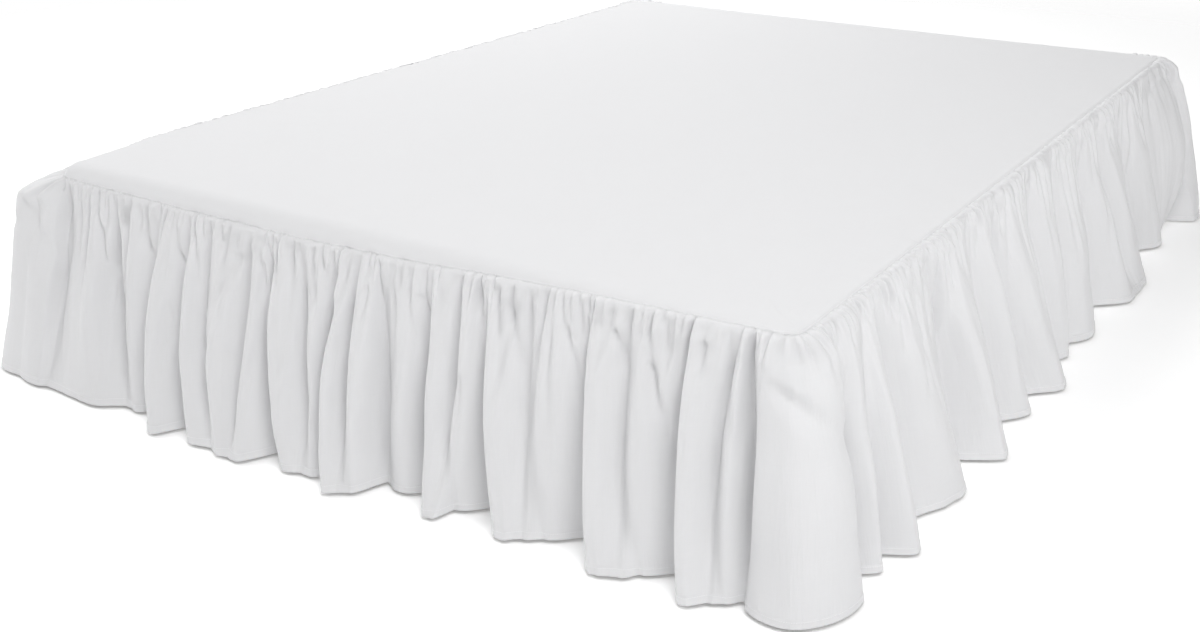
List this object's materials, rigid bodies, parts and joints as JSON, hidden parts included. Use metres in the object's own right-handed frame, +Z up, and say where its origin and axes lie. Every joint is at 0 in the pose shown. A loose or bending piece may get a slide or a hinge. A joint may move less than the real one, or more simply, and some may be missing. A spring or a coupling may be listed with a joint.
{
  "type": "ruffled bed skirt on a mattress base",
  "caption": "Gathered cloth skirt with a flat deck, falling to the floor round the foot and both sides of a plain mattress base on legs.",
  "frame": {"origin": "on the floor, under the middle of the whole piece", "axes": "+Z up, +Y towards the head of the bed, +X towards the bed's right side as seen from its foot"},
  "size_m": [1.8239, 2.3268, 0.4],
  "materials": {
    "cotton": "matte plain-woven white cotton",
    "base_cover": "matte woven cover",
    "leg_wood": "satin lacquered beech"
  },
  "bodies": {
    "root": {"deck_panel": "cotton", "ruffle_foot": "cotton", "ruffle_right": "cotton", "ruffle_left": "cotton", "mattress_base": "base_cover", "leg_1": "leg_wood", "leg_2": "leg_wood", "leg_3": "leg_wood", "leg_4": "leg_wood", "leg_5": "leg_wood", "leg_6": "leg_wood"}
  },
  "joints": []
}
